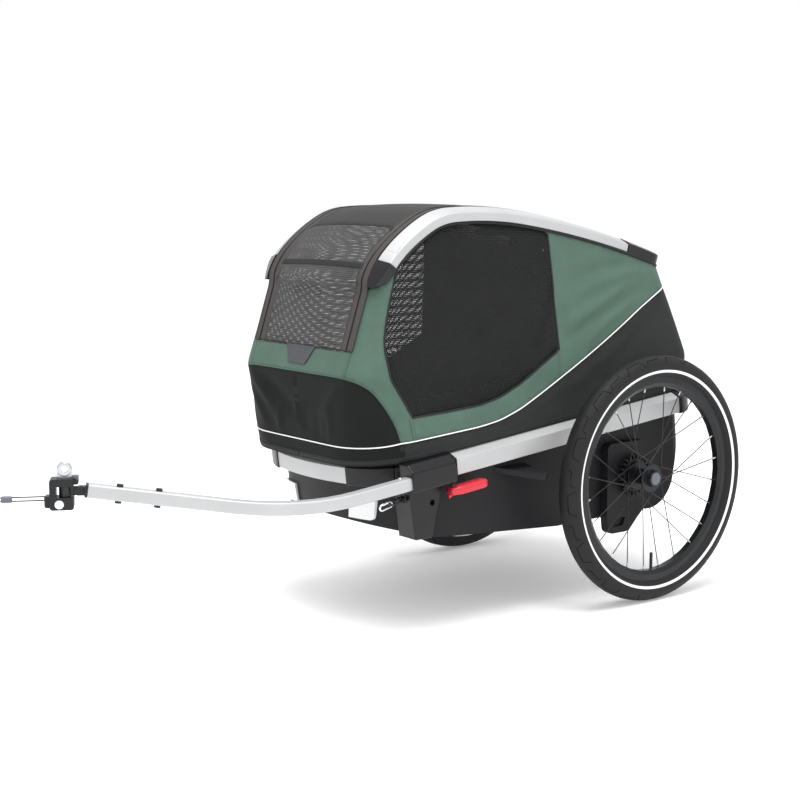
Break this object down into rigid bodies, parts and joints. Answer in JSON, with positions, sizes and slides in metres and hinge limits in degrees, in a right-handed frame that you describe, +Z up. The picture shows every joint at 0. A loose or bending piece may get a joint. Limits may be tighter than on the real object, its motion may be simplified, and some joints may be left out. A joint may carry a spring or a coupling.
{
  "type": "dog bike trailer",
  "caption": "Two-wheeled dog trailer for a bicycle: fabric cabin with tinted windows and mesh front on an aluminium frame, spoked wheels, side tow arm and axle hitch.",
  "frame": {"origin": "on the ground under the middle of the trailer's length, on its middle plane", "axes": "+X to the trailer's left, where the tow arm is, -Y forwards to the hitch, +Z up"},
  "size_m": [0.653, 1.5418, 0.802],
  "materials": {
    "tub_plastic": "moulded, fine grain",
    "dark_plastic": "moulded, satin",
    "black_plastic": "moulded, satin",
    "grey_plastic": "moulded, satin",
    "red_plastic": "moulded, semi-gloss",
    "reflector_plastic": "clear prism reflector",
    "tinted_film": "tinted clear film",
    "anodised_aluminium": "satin anodised",
    "black_metal": "black anodised",
    "black_steel": "black coated",
    "bright_steel": "zinc plated",
    "chrome": "polished",
    "tyre": "moulded rubber",
    "charcoal_fabric": "coated woven fabric",
    "grey_fabric": "coated woven fabric",
    "green_fabric": "coated woven fabric",
    "mesh_fabric": "open mesh",
    "mat_fabric": "padded woven fabric",
    "cord": "braided cord"
  },
  "bodies": {
    "chassis": {"floor_tub": "tub_plastic", "floor_mat": "mat_fabric", "side_rails": "anodised_aluminium", "front_crossbar": "anodised_aluminium", "rear_crossbar": "anodised_aluminium", "frame_corners": "dark_plastic", "arm_receiver": "dark_plastic", "axle_brackets": "tub_plastic", "wheel_axles": "bright_steel", "wheel_guards": "tub_plastic", "front_reflectors": "reflector_plastic", "pedal_mount": "dark_plastic", "hoop_feet": "dark_plastic", "pivot_pins": "bright_steel", "skirt_fabric": "charcoal_fabric", "rear_door": "charcoal_fabric"},
    "wheel_left": {"tyre_left": "tyre", "rim_left": "black_metal", "spokes_left": "black_steel", "hub_left": "black_metal", "hub_bearings_left": "bright_steel", "brake_ring_left": "black_plastic"},
    "wheel_right": {"tyre_right": "tyre", "rim_right": "black_metal", "spokes_right": "black_steel", "hub_right": "black_metal", "hub_bearings_right": "bright_steel", "brake_ring_right": "black_plastic"},
    "hub_button_left": {"hub_button_left": "grey_plastic"},
    "hub_button_right": {"hub_button_right": "grey_plastic"},
    "arm": {"arm_tube": "anodised_aluminium", "arm_bolts": "bright_steel", "hitch_stub": "dark_plastic", "hitch_cross_pin": "bright_steel"},
    "arm_snap_pin": {"arm_snap_pin": "chrome"},
    "arm_lock_lever": {"arm_lock_lever": "red_plastic"},
    "hitch_cross": {"hitch_cross": "black_steel"},
    "hitch_head": {"hitch_head": "black_plastic", "hitch_pin": "bright_steel", "lanyard_anchor": "grey_plastic", "lanyard": "cord", "lanyard_bead": "grey_plastic"},
    "axle_cup": {"axle_cup": "bright_steel"},
    "latch_lever": {"latch_lever": "grey_plastic"},
    "lock_button": {"lock_button": "chrome"},
    "hook_bail": {"hook_bail": "black_steel"},
    "snap_hook": {"snap_hook": "chrome"},
    "brake_pedal": {"brake_pedal": "dark_plastic"},
    "brake_pin_left": {"brake_pin_left": "bright_steel"},
    "brake_pin_right": {"brake_pin_right": "bright_steel"},
    "rear_hoop": {"hoop_legs": "anodised_aluminium", "hoop_bar": "anodised_aluminium"},
    "roof_frame": {"top_rails": "anodised_aluminium", "rail_caps": "dark_plastic", "roof_bows": "anodised_aluminium", "roof_hinges": "dark_plastic", "roof_fabric": "grey_fabric", "cabin_cover": "green_fabric", "side_windows": "tinted_film", "front_mesh_door": "mesh_fabric"}
  },
  "joints": [
    {"name": "wheel_spin_left", "type": "hinge", "parent": "chassis", "child": "wheel_left", "pos_m": [0.303, 0.4741, 0.25], "axis": [1, 0, 0], "continuous": true},
    {"name": "wheel_spin_right", "type": "hinge", "parent": "chassis", "child": "wheel_right", "pos_m": [-0.303, 0.4741, 0.25], "axis": [1, 0, 0], "continuous": true},
    {"name": "hub_button_left", "type": "slide", "parent": "wheel_left", "child": "hub_button_left", "axis": [-1, 0, 0], "range_m": [0, 0.003], "stiffness_N_per_m": 400},
    {"name": "hub_button_right", "type": "slide", "parent": "wheel_right", "child": "hub_button_right", "axis": [1, 0, 0], "range_m": [0, 0.003], "stiffness_N_per_m": 400},
    {"name": "arm_slide", "type": "slide", "parent": "chassis", "child": "arm", "axis": [0, -0.994, -0.1097], "range_m": [0, 0.08]},
    {"name": "arm_snap_pin", "type": "slide", "parent": "arm", "child": "arm_snap_pin", "axis": [0, 0.1097, -0.994], "range_m": [0, 0.004], "stiffness_N_per_m": 500},
    {"name": "arm_lock_lever", "type": "hinge", "parent": "chassis", "child": "arm_lock_lever", "pos_m": [0.251, -0.00638, 0.29449], "axis": [0, -0.1097, 0.994], "range_deg": [-35, 0], "stiffness_Nm_per_rad": 0.6},
    {"name": "hitch_pitch", "type": "hinge", "parent": "arm", "child": "hitch_cross", "pos_m": [0.06748, -0.67102, 0.324], "axis": [0.8825, -0.4703, 0], "range_deg": [-25, 25]},
    {"name": "hitch_yaw", "type": "hinge", "parent": "hitch_cross", "child": "hitch_head", "pos_m": [0.05713, -0.69044, 0.324], "axis": [0, 0, 1], "range_deg": [-70, 70]},
    {"name": "axle_cup_lift", "type": "slide", "parent": "hitch_head", "child": "axle_cup", "axis": [0, 0, 1], "range_m": [0, 0.02]},
    {"name": "latch_lever", "type": "hinge", "parent": "hitch_head", "child": "latch_lever", "pos_m": [0.06621, -0.6734, 0.3398], "axis": [0.8825, -0.4703, 0], "range_deg": [-40, 0], "stiffness_Nm_per_rad": 0.2},
    {"name": "lock_button", "type": "slide", "parent": "hitch_head", "child": "lock_button", "axis": [-0.8825, 0.4703, 0], "range_m": [0, 0.003], "stiffness_N_per_m": 400},
    {"name": "hook_bail", "type": "hinge", "parent": "chassis", "child": "hook_bail", "pos_m": [0.215, -0.1019, 0.262], "axis": [1, 0, 0], "range_deg": [-20, 30]},
    {"name": "snap_hook", "type": "hinge", "parent": "hook_bail", "child": "snap_hook", "pos_m": [0.215, -0.12519, 0.25619], "axis": [1, 0, 0], "range_deg": [-40, 40]},
    {"name": "brake_pedal", "type": "hinge", "parent": "chassis", "child": "brake_pedal", "pos_m": [0, 0.65946, 0.35995], "axis": [1, 0, 0], "range_deg": [-25, 0]},
    {"name": "brake_pin_left", "type": "slide", "parent": "chassis", "child": "brake_pin_left", "axis": [1, 0, 0], "range_m": [0, 0.008]},
    {"name": "brake_pin_right", "type": "slide", "parent": "chassis", "child": "brake_pin_right", "axis": [-1, 0, 0], "range_m": [0, 0.008]},
    {"name": "cabin_fold", "type": "hinge", "parent": "chassis", "child": "rear_hoop", "pos_m": [0, 0.6331, 0.432], "axis": [1, 0, 0], "range_deg": [0, 68], "deforming": ["skirt_fabric", "rear_door", "cabin_cover", "side_windows", "front_mesh_door"]},
    {"name": "roof_fold", "type": "hinge", "parent": "rear_hoop", "child": "roof_frame", "pos_m": [0, 0.5581, 0.646], "axis": [1, 0, 0], "range_deg": [-60, 0]}
  ],
  "couplings": [
    {"joint": "brake_pin_left", "follows": "brake_pedal", "m_per_rad": -0.018335},
    {"joint": "brake_pin_right", "follows": "brake_pedal", "m_per_rad": -0.018335},
    {"joint": "roof_fold", "follows": "cabin_fold", "ratio": -0.88235}
  ]
}
